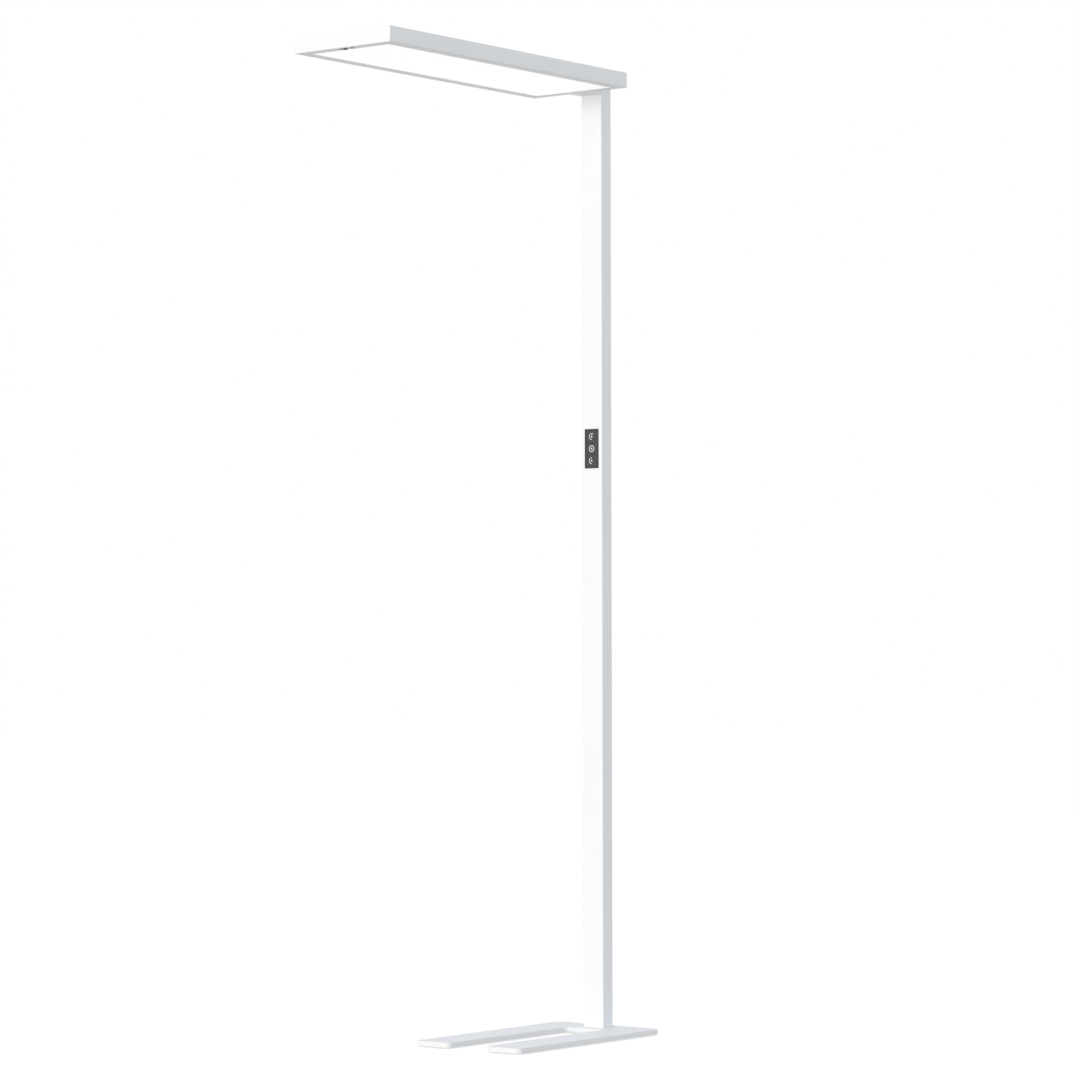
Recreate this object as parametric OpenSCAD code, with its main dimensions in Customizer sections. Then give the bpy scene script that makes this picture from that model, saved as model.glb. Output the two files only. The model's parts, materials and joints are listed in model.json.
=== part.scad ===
// Office floor lamp: a U-shaped steel foot, a rectangular pole with three keys, and a thin
// flat head that lights the table below it and the ceiling above it.
// Millimetres, +Z up. The origin lies on the floor, on the pole's axis.
// +X points along the head to its free end, and +Y is the side of the daylight sensor.

/* [Overall] */
// Height of the head's top face above the floor
overall_h = 1912; // [1700:1:2100]
// Length of the neck between the pole and the head
neck_l = 36; // [24:1:80]

/* [Foot] */
// Length of the floor plate, front to back
base_l = 456; // [380:1:560]
// Width of the floor plate
base_w = 254; // [230:1:320]
// Thickness of the floor plate
base_t = 10; // [8:0.5:14]
// Width of each arm of the plate
arm_w = 82; // [70:1:95]
// Depth of the bridge that joins the arms under the pole
bridge_l = 82; // [80:1:110]
// Part of the bridge that lies behind the pole
rear_margin = 20; // [14:1:30]
// Radius of the plate's outer corners
corner_r = 14; // [6:1:24]
// Radius in the closed end of the slot
slot_r = 10; // [4:1:20]
// Diameter of a rubber pad
pad_d = 24; // [16:1:28]
// Thickness of a rubber pad
pad_t = 2; // [1:0.5:4]
// Distance from the plate's edges to the centre of a pad
pad_inset = 30; // [20:1:36]

/* [Pole] */
// Width of the pole, across the lamp
pole_w = 50; // [50:0.5:64]
// Depth of the pole, along the head
pole_d = 33.5; // [33:0.5:45]
// Wall of the extrusion
pole_wall = 2.2; // [1.8:0.1:2.6]
// Radius of the pole's long edges
pole_r = 2.5; // [1:0.5:4]
// Outer diameter of a screw port
port_d = 6.9; // [6.4:0.1:7.2]
// Distance from the pole's faces to the centre of a screw port
port_inset = 4.3; // [4:0.1:4.6]
// Thickness of the cap on top of the pole
cap_t = 3; // [2:0.5:5]

/* [Gear tray] */
// Width of the tray that carries the driver
tray_w = 28; // [24:0.5:29]
// Thickness of the tray
tray_t = 1.5; // [1:0.1:1.8]
// Length of the tray
tray_l = 400; // [380:1:520]
// Height of the tray's lower end above the floor
tray_z = 62; // [56:1:90]
// Driver: length, width and height off the tray
driver_l = 320; // [240:1:330]
// Width of the driver
driver_w = 30; // [24:0.5:31]
// Thickness of the driver
driver_t = 19; // [15:0.5:20]

/* [Mains inlet] */
// Height of the inlet's centre above the floor
inlet_z = 37; // [32:1:40]
// Width of the cut-out for the inlet
inlet_w = 27; // [26:0.5:28]
// Height of the cut-out for the inlet
inlet_h = 19.8; // [19:0.1:21]
// Depth of the socket behind the flange's face
socket_depth = 16.5; // [15:0.5:18]

/* [Keypad] */
// Height of the keypad's centre above the floor
keypad_z = 1170; // [1000:1:1300]
// Width of the keypad
keypad_w = 34; // [32:0.5:36]
// Height of the keypad
keypad_h = 79; // [70:1:100]
// How far the keypad stands out from the pole
keypad_proud = 1; // [0.5:0.1:2]
// Visible border of the keypad's frame
keypad_border = 3; // [2.5:0.1:4]
// Gap between two keys
key_gap = 0.4; // [0.3:0.1:1]
// Travel of a key
key_travel = 1; // [0.5:0.1:1.2]

/* [Head] */
// Length of the head
head_l = 729; // [600:1:900]
// Width of the head
head_w = 235; // [220:1:300]
// Thickness of the head
head_t = 30; // [30:0.5:40]
// Width of the bezel round the diffuser
bezel_w = 24; // [22:0.5:30]
// Side wall of the frame rails
rail_wall = 2.5; // [2:0.1:3]
// Thickness of the rails' bottom flange
flange_t = 2.5; // [2:0.1:3]
// Thickness of the rails' inner ribs
rib_t = 1.4; // [1:0.1:1.6]
// Radius of the head's vertical corners
head_r = 3; // [1:0.5:6]
// Height of the carrier plate above the head's underside
plate_z = 15.5; // [15:0.5:16]
// Thickness of the carrier plate
plate_t = 1.5; // [1:0.1:1.6]
// Thickness of the top cover
cover_t = 3; // [2:0.5:3]

/* [Light boards] */
// Distance from the head's ends to the boards of the down light
down_margin = 44; // [30:1:120]
// Distance between the boards of the down light
down_pitch = 50; // [30:1:54]
// Number of light-emitting diodes on a board of the down light
down_count = 24; // [12:1:30]
// Distance from the head's ends to the boards of the up light
up_margin = 84; // [80:1:160]
// Distance between the two boards of the up light
up_pitch = 100; // [60:1:150]
// Number of light-emitting diodes on a board of the up light
up_count = 20; // [10:1:28]
// Width of a board
board_w = 14; // [10:1:18]
// Thickness of every circuit board
board_t = 1.6; // [1:0.1:2]
// Side of a light-emitting diode
led_w = 3.5; // [2:0.1:5]
// Height of a light-emitting diode
led_t = 0.8; // [0.5:0.1:1]

/* [Sensors] */
// Distance from the head's free end to the sensors' centre
sensor_u = 14; // [12:0.5:14]
// Diameter of the presence lens
presence_d = 11; // [9:0.5:11]
// Sideways place of the presence lens
presence_y = -3; // [-6:0.5:0]
// Diameter of the daylight window
daylight_d = 9; // [6:0.5:10]
// Sideways place of the daylight window
daylight_y = 14.5; // [12:0.5:18]
// Diameter of the remote control window
remote_d = 8; // [5:0.5:8]
// Sideways place of the remote control window
remote_y = -14.5; // [-18:0.5:-14.5]

/* [Fasteners] */
// Shank diameter of the large screws
screw_d = 5; // [4:0.5:5]
// Shank diameter of the middle screws
small_screw_d = 4; // [3:0.5:4]
// Shank diameter of the small screws
fine_screw_d = 3; // [2:0.5:3]

/* [Hidden] */
$fn = 48;
// Clearances: between seated pieces, round a screw's shank, and round a moving piece
fit = 0.15;
hole_clear = 0.05;
key_clear = 0.3;
// Overlap of a cut with the air round it
over = 1;

// Foot
base_z0 = pad_t;
base_top = pad_t + base_t;
base_x0 = -(pole_d / 2 + rear_margin);
base_x1 = base_x0 + base_l;
arm_y = (base_w - arm_w) / 2;
slot_w = base_w - 2 * arm_w;
slot_x0 = base_x0 + bridge_l;
pads = [
  [0, 0],
  for (s = [-1, 1]) [base_x0 + pad_inset, s * (base_w / 2 - pad_inset)],
  for (s = [-1, 1]) [(slot_x0 + base_x1) / 2, s * arm_y],
  for (s = [-1, 1]) [base_x1 - pad_inset, s * arm_y]
];

// Pole
face_x = pole_d / 2;
front_in = face_x - pole_wall;
rear_in = -front_in;
side_in = pole_w / 2 - pole_wall;
tube_top = overall_h - cap_t;
port_x = pole_d / 2 - port_inset;
port_y = pole_w / 2 - port_inset;
port_grip = 20;

// T-slot on the rear wall, from the tray that slides in it
hook_t = 1.3;
hook_lip = 1.5;
tslot_w = tray_w + 2 * fit;
tslot_d = tray_t + 2 * fit;
hooks_x = rear_in + tslot_d + hook_t;
hooks_z0 = inlet_z + inlet_h / 2 + 4;

// Gear tray and driver
tray_x = rear_in + fit;
tray_front = tray_x + tray_t;
driver_x = hooks_x + fit;
driver_z = tray_z + (tray_l - driver_l) / 2;
driver_top = driver_z + driver_l;
lug_l = 12;
lug_w = tslot_w - 2 * hook_lip - 2 * fit;
lug_t = 2;
tray_screw_in = 7;

// Mains inlet
inlet_flange = [2.5, 31, 24];
inlet_r = 2;
inlet_floor = 2;
socket_wall = 1.6;
blade = [2, 4];
blade_reach = 5.5;
blade_y = 7;
blade_up = 2;
tab = [6.3, 0.8, 4.8];
socket_x = -face_x - inlet_flange[0] + socket_depth;
inlet_back = socket_x + inlet_floor;
wire_d = 2.6;

// Keypad, from its face inwards
keypad_x = face_x + keypad_proud;
frame_t = 1.6;
frame_lap = 0.75;
frame_wall = 1;
lip_t = 1.2;
lip_gap = 0.1;
key_sink = 0.4;
stem_t = 1;
stem_d = 6;
touch = 0.05;
plunger_t = 1.5;
plunger_d = 3.4;
plunger_in = 1.6;
switch_w = 6.2;
switch_t = 3.4;
back_t = 2;
opening_w = keypad_w - 2 * frame_lap;
opening_h = keypad_h - 2 * frame_lap;
body_w = opening_w - 2 * fit;
body_h = opening_h - 2 * fit;
pocket_w = body_w - 2 * frame_wall;
pocket_h = body_h - 2 * frame_wall;
window_w = keypad_w - 2 * keypad_border;
window_h = keypad_h - 2 * keypad_border;
key_w = window_w - 2 * key_clear;
key_h = (window_h - 2 * key_clear - 2 * key_gap) / 3;
key_pitch = key_h + key_gap;
key_back = keypad_x - frame_t - lip_gap - lip_t;
plunger_x = key_back - stem_t - touch;
board_front = plunger_x - plunger_t - switch_t;
board_back = board_front - board_t;
cover_back = board_back - back_t;
boss_d = 4.8;
boss_front = key_back - key_travel - key_clear;
boss_y = pocket_w / 2 - boss_d / 2 + 0.2;
keypad_screw_d = 2.2;
keypad_screw_head = [4, 1.4];
keypad_screw_l = back_t + board_t + 3;

// Neck
head_x0 = face_x + neck_l;
head_z0 = overall_h - head_t;
plug_l = 60;
plug_top = tube_top - 5;
channel_h = 7;
channel_w = 24;
channel_z = head_z0 + plate_z + plate_t + channel_h / 2 + 0.5;
tongue_w = 28;
tongue_z0 = head_z0 + 4;
lead_x = -4;
lead_d = 5.4;
lead_bend = 12;
shaft = [lead_bend + 7, 9];
shaft_x = lead_x - 7;
neck_thread_l = 16;
neck_screw_head = [8.4, 3];
neck_screw_y = pole_w / 2 - 5.5;
rear_screw_y = 9;
rear_screw_l = 14;
rear_screw_z = [head_z0 - 40, head_z0 + 8];

// Head rails, measured inwards from their outer face and upwards from their underside
rail_edge_r = 1.2;
diffuser_flange_t = 2;
diffuser_sink = 0.5;
gasket_t = 1.5;
gasket_w = 4;
stop_z = flange_t + diffuser_flange_t + gasket_t;
stop_reach = 18;
diffuser_in = stop_reach - 6;
channel_reach = 14;
channel_z0 = stop_z + rib_t;
channel_z1 = plate_z - rib_t;
lip_h = 1.6;
cover_z = head_t - cover_t;
cover_reach = 9;
mitre = bezel_w + 6;
mitre_gap = 0.1;
neck_pocket_w = pole_w + 6;
neck_screw_v = [
  channel_z0 + neck_screw_head[0] / 2 + 0.4,
  plate_z + plate_t + neck_screw_head[0] / 2
];

// Corner keys
key_in = rail_wall + fit;
key_out = channel_reach - rib_t - fit;
key_arm = 45;
set_screw_at = 32;
set_screw_u = (key_in + key_out) / 2;

// Carrier plate
plate_gap = 0.5;
plate_notch = [24, neck_pocket_w + 4];
plate_screw_n = 4;
plate_screw_u = 8;

// Sensor group
holder = [15, 64, 2.2];
holder_z = flange_t + fit;
sensor_pocket_w = holder[1] + 4;
lens_flange = 1;
lens_lap = 0.6;
lens_web = 1;
dome_out = 2;

// Terminal block and the leads that leave it
terminal = [22, 24, 8];
terminal_x = 30;
terminal_poles = 5;
pole_pitch = terminal[1] / terminal_poles;
mouth = [6, 3, 3];
thin_lead_d = 1.8;
sensor_lead_d = 2.5;
thin_bend = 2;
leads_z = plate_z + plate_t + board_t + thin_lead_d / 2 + hole_clear;
under_z = plate_z - thin_lead_d / 2 - hole_clear;
drop_x = [terminal_x + terminal[0] + 8, terminal_x + terminal[0] + 14];

white = "#f4f5f6";
rubber_black = "#2b2c2e";
steel = "#b9bcc0";
brass = "#c9a552";
dark_grey = "#55585c";
board_green = "#2f6b4c";

// ---------- shapes used by several pieces ----------

// Rectangle with round corners, centred on the origin
module rounded_rect(x, y, r) {
  square([x - 2 * r, y], center = true);
  square([x, y - 2 * r], center = true);
  for (sx = [-1, 1], sy = [-1, 1])
    translate([sx * (x / 2 - r), sy * (y / 2 - r)]) circle(r);
}

// Fills a concave corner that opens towards +X and +Y
module inner_fillet(r) {
  difference() {
    square(r);
    translate([r, r]) circle(r);
  }
}

// Turns a shape drawn across the lamp (X to +Y, Y to +Z) and raises it along +X
module across(t) {
  rotate([90, 0, 90]) linear_extrude(t) children();
}

// Countersunk screw with a hexagon socket: its flat head lies in Z = 0, its shank runs up
module countersunk_screw(d, length) {
  head_r = d;
  difference() {
    union() {
      cylinder(h = head_r - d / 2, r1 = head_r, r2 = d / 2);
      cylinder(h = length, r = d / 2);
    }
    translate([0, 0, -over]) cylinder(h = d * 0.4 + over, r = d * 0.35, $fn = 6);
  }
}

// The hole for such a screw, through a wall of the given thickness
module countersunk_hole(d, wall) {
  head_r = d + fit;
  translate([0, 0, -over]) cylinder(h = wall + 2 * over, r = d / 2 + fit);
  translate([0, 0, -hole_clear]) cylinder(h = head_r - d / 2, r1 = head_r, r2 = d / 2);
}

// Screw with a low cylinder head below Z = 0 and its shank above
module pan_screw(d, head_d, head_h, length) {
  difference() {
    union() {
      translate([0, 0, -head_h]) cylinder(h = head_h, r = head_d / 2);
      cylinder(h = length, r = d / 2);
    }
    translate([0, 0, -head_h - over]) cylinder(h = head_h * 0.6 + over, r = d * 0.35, $fn = 6);
  }
}

// Places its children at the four screw ports of the pole
module at_ports() {
  for (sx = [-1, 1], sy = [-1, 1])
    translate([sx * port_x, sy * port_y]) children();
}

// Vector of length 1
function unit(v) = v / norm(v);

// Round lead along points that turn at right angles, with bends of radius r
module lead(points, d, r) {
  last = len(points) - 1;
  for (i = [0 : last - 1]) {
    dir = unit(points[i + 1] - points[i]);
    from = points[i] + (i > 0 ? r : 0) * dir;
    to = points[i + 1] - (i < last - 1 ? r : 0) * dir;
    along(from, dir) cylinder(h = norm(to - from), r = d / 2);
  }
  if (last > 1)
    for (i = [1 : last - 1]) {
      u = unit(points[i] - points[i - 1]);
      v = unit(points[i + 1] - points[i]);
      frame(-v, u, points[i] + r * (v - u))
        rotate_extrude(angle = 90) translate([r, 0]) circle(d / 2);
    }
}

// Moves its children so that their X and Y axes lie along a and b
module frame(a, b, origin) {
  c = cross(a, b);
  multmatrix([
    [a[0], b[0], c[0], origin[0]],
    [a[1], b[1], c[1], origin[1]],
    [a[2], b[2], c[2], origin[2]],
    [0, 0, 0, 1]
  ]) children();
}

// Moves its children so that their Z axis starts at a point and lies along a row axis
module along(origin, dir) {
  side = abs(dir[2]) > 0.5 ? [1, 0, 0] : [0, 0, 1];
  frame(side, cross(dir, side), origin) children();
}

// ---------- foot ----------

module base_outline() {
  for (s = [-1, 1])
    translate([base_x0 + base_l / 2, s * arm_y]) rounded_rect(base_l, arm_w, corner_r);
  translate([base_x0, -arm_y]) square([bridge_l, 2 * arm_y]);
  translate([slot_x0, -slot_w / 2]) inner_fillet(slot_r);
  mirror([0, 1]) translate([slot_x0, -slot_w / 2]) inner_fillet(slot_r);
}

module base_plate() {
  color(white)
    difference() {
      translate([0, 0, base_z0]) linear_extrude(base_t) base_outline();
      translate([0, 0, base_z0]) at_ports() countersunk_hole(screw_d, base_t);
    }
}

module base_pads() {
  color(rubber_black)
    for (p = pads)
      translate(p) cylinder(h = pad_t, r = pad_d / 2);
}

module base_screws() {
  color(steel)
    translate([0, 0, base_z0]) at_ports() countersunk_screw(screw_d, base_t + port_grip);
}

// ---------- pole ----------

// Section of the pole: walls, four screw ports and the T-slot for the gear tray
module pole_section() {
  difference() {
    union() {
      difference() {
        rounded_rect(pole_d, pole_w, pole_r);
        square([2 * front_in, 2 * side_in], center = true);
      }
      at_ports() circle(port_d / 2);
      for (s = [0, 1])
        mirror([0, s]) tslot_hook();
    }
    at_ports() circle(screw_d / 2 + hole_clear);
  }
}

module tslot_hook() {
  translate([rear_in - hole_clear, tslot_w / 2]) square([tslot_d + hook_t + hole_clear, hook_t]);
  translate([hooks_x - hook_t, tslot_w / 2 - hook_lip]) square([hook_t, hook_lip + hook_t]);
}

module pole_tube() {
  color(white)
    difference() {
      translate([0, 0, base_top]) linear_extrude(tube_top - base_top) pole_section();
      pole_cuts();
    }
}

module pole_cuts() {
  wall_cut = pole_wall + 2 * over;
  hooks_cut = [tslot_d + hook_t + over, tslot_w + 2 * hook_t + 2 * hole_clear];
  translate([cover_back - fit, -opening_w / 2, keypad_z - opening_h / 2])
    cube([face_x + over - cover_back + fit, opening_w, opening_h]);
  translate([-face_x - over, -inlet_w / 2 - fit, inlet_z - inlet_h / 2 - fit])
    cube([wall_cut, inlet_w + 2 * fit, inlet_h + 2 * fit]);
  translate([rear_in, -hooks_cut[1] / 2, base_top - over])
    cube([hooks_cut[0], hooks_cut[1], hooks_z0 - base_top + over]);
  translate([rear_in, -hooks_cut[1] / 2, head_z0 - plug_l - over])
    cube([hooks_cut[0], hooks_cut[1], plug_l + head_t]);
  translate([front_in - over, -tongue_w / 2 - fit, tongue_z0 - fit])
    cube([wall_cut, tongue_w + 2 * fit, head_t]);
  for (z = [tray_z + tray_screw_in, tray_z + tray_l - tray_screw_in])
    from_rear(0, z) countersunk_hole(small_screw_d, pole_wall);
  for (y = [-1, 1], z = rear_screw_z)
    from_rear(y * rear_screw_y, z) countersunk_hole(small_screw_d, pole_wall);
}

// Places a screw or its hole on the pole's rear face, pointing forwards
module from_rear(y, z) {
  translate([-face_x, y, z]) rotate([0, 90, 0]) children();
}

// Section that fills the tube between the ports, with a gap round it
module tube_fill(gap) {
  side_x = port_x - port_d / 2 - gap;
  side_y = port_y - port_d / 2 - gap;
  square([2 * (front_in - gap), 2 * side_y], center = true);
  square([2 * side_x, 2 * (side_in - gap)], center = true);
}

module pole_cap() {
  skirt_h = tube_top - plug_top - 2 * fit;
  color(white) {
    translate([0, 0, tube_top]) linear_extrude(cap_t) rounded_rect(pole_d, pole_w, pole_r);
    translate([0, 0, tube_top - skirt_h])
      linear_extrude(skirt_h)
        difference() {
          tube_fill(fit);
          translate([shaft_x, -shaft[1] / 2]) square([pole_d, shaft[1]]);
        }
  }
}

// ---------- power supply in the pole ----------

module mains_inlet() {
  color(rubber_black)
    difference() {
      union() {
        translate([-face_x - inlet_flange[0], 0, inlet_z])
          across(inlet_flange[0]) rounded_rect(inlet_flange[1], inlet_flange[2], inlet_r);
        translate([-face_x, 0, inlet_z])
          across(inlet_back + face_x) rounded_rect(inlet_w, inlet_h, inlet_r);
        for (s = [0, 1])
          mirror([0, s, 0]) inlet_snap();
      }
      translate([-face_x - inlet_flange[0] - over, 0, inlet_z])
        across(socket_depth + over)
          rounded_rect(inlet_w - 2 * socket_wall, inlet_h - 2 * socket_wall, inlet_r);
      at_blades(socket_x - over) blade_slot(inlet_floor + 2 * over);
    }
}

// Wedge that snaps behind the pole's rear wall
module inlet_snap() {
  snap = [4, 0.8, 8];
  translate([rear_in + hole_clear, inlet_w / 2, inlet_z - snap[2] / 2])
    linear_extrude(snap[2]) polygon([[0, 0], [0, snap[1]], [snap[0], 0]]);
}

// Places its children at the three blades, with the earth blade higher than the others
module at_blades(x) {
  for (i = [-1 : 1])
    translate([x, i * blade_y, inlet_z + (i == 0 ? blade_up : -blade_up)]) children();
}

module blade_slot(depth) {
  across(depth) square([tab[1] + fit, tab[2] + fit], center = true);
}

module inlet_pins() {
  blade_l = socket_depth - blade_reach;
  color(brass)
    at_blades(socket_x) {
      translate([-blade_l, 0, 0]) across(blade_l) square(blade, center = true);
      across(inlet_floor + tab[0]) square([tab[1], tab[2]], center = true);
    }
}

module mains_wires() {
  wire_x = inlet_back + tab[0] / 2;
  color("#7a4a2a")
    for (i = [-1 : 1]) {
      z0 = inlet_z + (i == 0 ? blade_up : -blade_up) + tab[2] / 2;
      translate([wire_x, i * blade_y, z0]) cylinder(h = driver_z - z0, r = wire_d / 2);
    }
}

module gear_tray() {
  color(steel)
    difference() {
      translate([tray_x, -tray_w / 2, tray_z]) cube([tray_t, tray_w, tray_l]);
      for (z = [tray_z + tray_screw_in, tray_z + tray_l - tray_screw_in])
        from_rear(0, z) cylinder(h = face_x, r = small_screw_d / 2 + hole_clear);
      at_lugs() cylinder(h = 2 * face_x, r = fine_screw_d / 2 + hole_clear, center = true);
    }
}

module tray_screws() {
  length = pole_wall + fit + tray_t;
  color(steel)
    for (z = [tray_z + tray_screw_in, tray_z + tray_l - tray_screw_in])
      from_rear(0, z) countersunk_screw(small_screw_d, length);
}

// Places its children in the front faces of the driver's lugs, pointing to the rear
module at_lugs() {
  for (z = [driver_z - lug_l / 2, driver_top + lug_l / 2])
    translate([tray_front + lug_t, 0, z]) rotate([0, -90, 0]) children();
}

module led_driver() {
  color("#e6e6e2")
    difference() {
      union() {
        translate([driver_x + driver_t / 2, 0, driver_z])
          linear_extrude(driver_l) rounded_rect(driver_t, driver_w, pole_wall);
        translate([tray_front, -lug_w / 2, driver_z - lug_l])
          cube([lug_t, lug_w, driver_l + 2 * lug_l]);
      }
      at_lugs() cylinder(h = 2 * face_x, r = fine_screw_d / 2 + hole_clear, center = true);
    }
}

module driver_screws() {
  color(steel)
    at_lugs() pan_screw(fine_screw_d, 2 * fine_screw_d, fine_screw_d * 0.6, lug_t + tray_t);
}

// Lead from the driver up the pole and through the neck to the terminal block
module output_lead() {
  color("#d8d8d4")
    lead(
      [
        [lead_x, 0, driver_top],
        [lead_x, 0, channel_z],
        [head_x0 + terminal_x, 0, channel_z]
      ],
      lead_d, lead_bend
    );
}

// Lead from the keypad down to the driver
module keypad_lead() {
  lead_y = 8;
  drop = 18;
  thin_d = 3;
  color("#8c8f92")
    lead(
      [
        [cover_back, lead_y, keypad_z - drop],
        [cover_back - 2 * thin_d, lead_y, keypad_z - drop],
        [cover_back - 2 * thin_d, lead_y, driver_top]
      ],
      thin_d, 1.5 * thin_d
    );
}

// ---------- keypad ----------

// Places its children at the height of a key: 1 is the upper key, 0 the middle, -1 the lower
module at_key(i) {
  translate([0, 0, keypad_z + i * key_pitch]) children();
}

// Places its children at the four screws of the keypad, pointing forwards from a plane
module at_keypad_screws(x) {
  for (sy = [-1, 1], i = [-0.5, 0.5])
    at_key(i) translate([x, sy * boss_y, 0]) rotate([0, 90, 0]) children();
}

module keypad_frame() {
  color(dark_grey)
    difference() {
      union() {
        translate([face_x, 0, keypad_z])
          across(keypad_proud) rounded_rect(keypad_w, keypad_h, keypad_proud);
        translate([board_front, 0, keypad_z])
          across(face_x - board_front) square([body_w, body_h], center = true);
        for (s = [0, 1])
          translate([0, 0, keypad_z]) mirror([0, 0, s]) keypad_snap();
      }
      translate([board_front - over, 0, keypad_z])
        across(keypad_x - frame_t - board_front + over)
          difference() {
            square([pocket_w, pocket_h], center = true);
            for (sy = [-1, 1], i = [-0.5, 0.5])
              translate([sy * boss_y, i * key_pitch]) circle(boss_d / 2);
          }
      translate([boss_front, 0, keypad_z])
        across(keypad_x - frame_t - boss_front) square([pocket_w, pocket_h], center = true);
      translate([board_front, 0, keypad_z])
        across(face_x) square([window_w, window_h], center = true);
      at_keypad_screws(cover_back)
        cylinder(h = keypad_screw_l + fit, r = keypad_screw_d / 2 + hole_clear);
    }
}

// Wedge that snaps behind the pole's front wall
module keypad_snap() {
  snap = [3, 16, 0.7];
  translate([front_in - hole_clear, snap[1] / 2, body_h / 2])
    rotate([90, 0, 0])
      linear_extrude(snap[1]) polygon([[0, 0], [0, snap[2]], [-snap[0], 0]]);
}

module keypad_board() {
  color(board_green)
    difference() {
      translate([board_back, 0, keypad_z])
        across(board_t) square([body_w, body_h], center = true);
      at_keypad_screws(board_back - over)
        cylinder(h = board_t + 2 * over, r = keypad_screw_d / 2 + hole_clear);
    }
}

module switch_bodies() {
  color(rubber_black)
    for (i = [-1 : 1])
      at_key(i)
        difference() {
          translate([board_front, 0, 0])
            across(switch_t) square([switch_w, switch_w], center = true);
          translate([board_front + switch_t - plunger_in - key_travel - fit, 0, 0])
            rotate([0, 90, 0]) cylinder(h = switch_t, r = plunger_d / 2 + hole_clear);
        }
}

module keypad_back() {
  color(dark_grey)
    difference() {
      translate([cover_back, 0, keypad_z])
        across(back_t) square([body_w, body_h], center = true);
      at_keypad_screws(cover_back - over)
        cylinder(h = back_t + 2 * over, r = keypad_screw_d / 2 + hole_clear);
    }
}

module keypad_screws() {
  color(steel)
    at_keypad_screws(cover_back)
      pan_screw(keypad_screw_d, keypad_screw_head[0], keypad_screw_head[1], keypad_screw_l);
}

// Key cap with side lips that hold it behind the frame, and a stem for the switch
module key_cap(i) {
  color(dark_grey)
    at_key(i) {
      translate([key_back, 0, 0])
        across(keypad_x - key_sink - key_back) rounded_rect(key_w, key_h, key_sink);
      translate([key_back, 0, 0])
        across(lip_t) square([pocket_w - 2 * key_clear, key_h - 2 * key_sink], center = true);
      translate([key_back - stem_t, 0, 0])
        rotate([0, 90, 0]) cylinder(h = stem_t + lip_t, r = stem_d / 2);
    }
}

module plunger(i) {
  color(steel)
    at_key(i)
      translate([plunger_x - plunger_t - plunger_in, 0, 0])
        rotate([0, 90, 0]) cylinder(h = plunger_t + plunger_in, r = plunger_d / 2);
}

module key_up() {
  key_cap(1);
}

module key_power() {
  key_cap(0);
}

module key_down() {
  key_cap(-1);
}

module plunger_up() {
  plunger(1);
}

module plunger_power() {
  plunger(0);
}

module plunger_down() {
  plunger(-1);
}

// ---------- neck ----------

// Cast arm, flush with the head above and below, with a plug that hangs inside the pole
module neck_casting() {
  color(white)
    difference() {
      union() {
        translate([face_x, -pole_w / 2, head_z0]) cube([neck_l, pole_w, head_t]);
        translate([0, -tongue_w / 2, tongue_z0])
          cube([face_x, tongue_w, plug_top - tongue_z0]);
        translate([0, 0, head_z0 - plug_l])
          linear_extrude(plug_top - head_z0 + plug_l) tube_fill(fit);
      }
      translate([shaft_x, -shaft[1] / 2, head_z0 - plug_l - over])
        cube([shaft[0], shaft[1], channel_z - head_z0 + plug_l + over]);
      translate([shaft_x, -channel_w / 2, channel_z - channel_h / 2])
        cube([head_x0 + over - shaft_x, channel_w, channel_h]);
      at_neck_screws(head_x0)
        translate([0, 0, -over])
          cylinder(h = neck_thread_l + over, r = screw_d / 2 + hole_clear);
      for (y = [-1, 1], z = rear_screw_z)
        from_rear(y * rear_screw_y, z)
          cylinder(h = rear_screw_l + over, r = small_screw_d / 2 + hole_clear);
    }
}

// Places its children at the four screws between head and neck, pointing to the rear
module at_neck_screws(x) {
  for (s = [-1, 1], v = neck_screw_v)
    translate([x, s * neck_screw_y, head_z0 + v]) rotate([0, -90, 0]) children();
}

module neck_rear_screws() {
  color(steel)
    for (y = [-1, 1], z = rear_screw_z)
      from_rear(y * rear_screw_y, z) countersunk_screw(small_screw_d, rear_screw_l);
}

module neck_head_screws() {
  length = rail_wall + neck_thread_l - over;
  color(steel)
    at_neck_screws(head_x0 + rail_wall)
      pan_screw(screw_d, neck_screw_head[0], neck_screw_head[1], length);
}

// ---------- head ----------

// Moves its children to the head: origin in the middle of the rear edge of the underside
module in_head() {
  translate([head_x0, 0, head_z0]) children();
}

// Section of a rail: X inwards from the outer face, Y upwards from the underside
module rail_section() {
  hook_u = channel_reach - rib_t;
  difference() {
    union() {
      square([rail_wall, head_t]);
      square([bezel_w, flange_t]);
      translate([0, stop_z]) square([stop_reach, rib_t]);
      translate([0, channel_z1]) square([channel_reach, rib_t]);
      translate([hook_u, channel_z0]) square([rib_t, lip_h]);
      translate([hook_u, channel_z1 - lip_h]) square([rib_t, lip_h]);
      translate([0, cover_z - rib_t]) square([cover_reach, rib_t]);
    }
    inner_fillet(rail_edge_r);
    translate([0, head_t]) mirror([0, 1]) inner_fillet(rail_edge_r);
  }
}

// Rail along the near side, cut to the mitres; the others are turned or mirrored from its like
module side_rail() {
  g = mitre_gap;
  intersection() {
    translate([0, head_w / 2, 0])
      mirror([0, 1, 0]) across(head_l) rail_section();
    linear_extrude(head_t)
      polygon([
        [g, head_w / 2],
        [head_l - g, head_w / 2],
        [head_l - g - mitre, head_w / 2 - mitre],
        [g + mitre, head_w / 2 - mitre]
      ]);
    head_block();
  }
}

module end_rail() {
  intersection() {
    translate([0, head_w / 2, 0])
      rotate([90, 0, 0]) linear_extrude(head_w) rail_section();
    linear_extrude(head_t)
      polygon([
        [0, head_w / 2],
        [0, -head_w / 2],
        [mitre, mitre - head_w / 2],
        [mitre, head_w / 2 - mitre]
      ]);
    head_block();
  }
}

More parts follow.
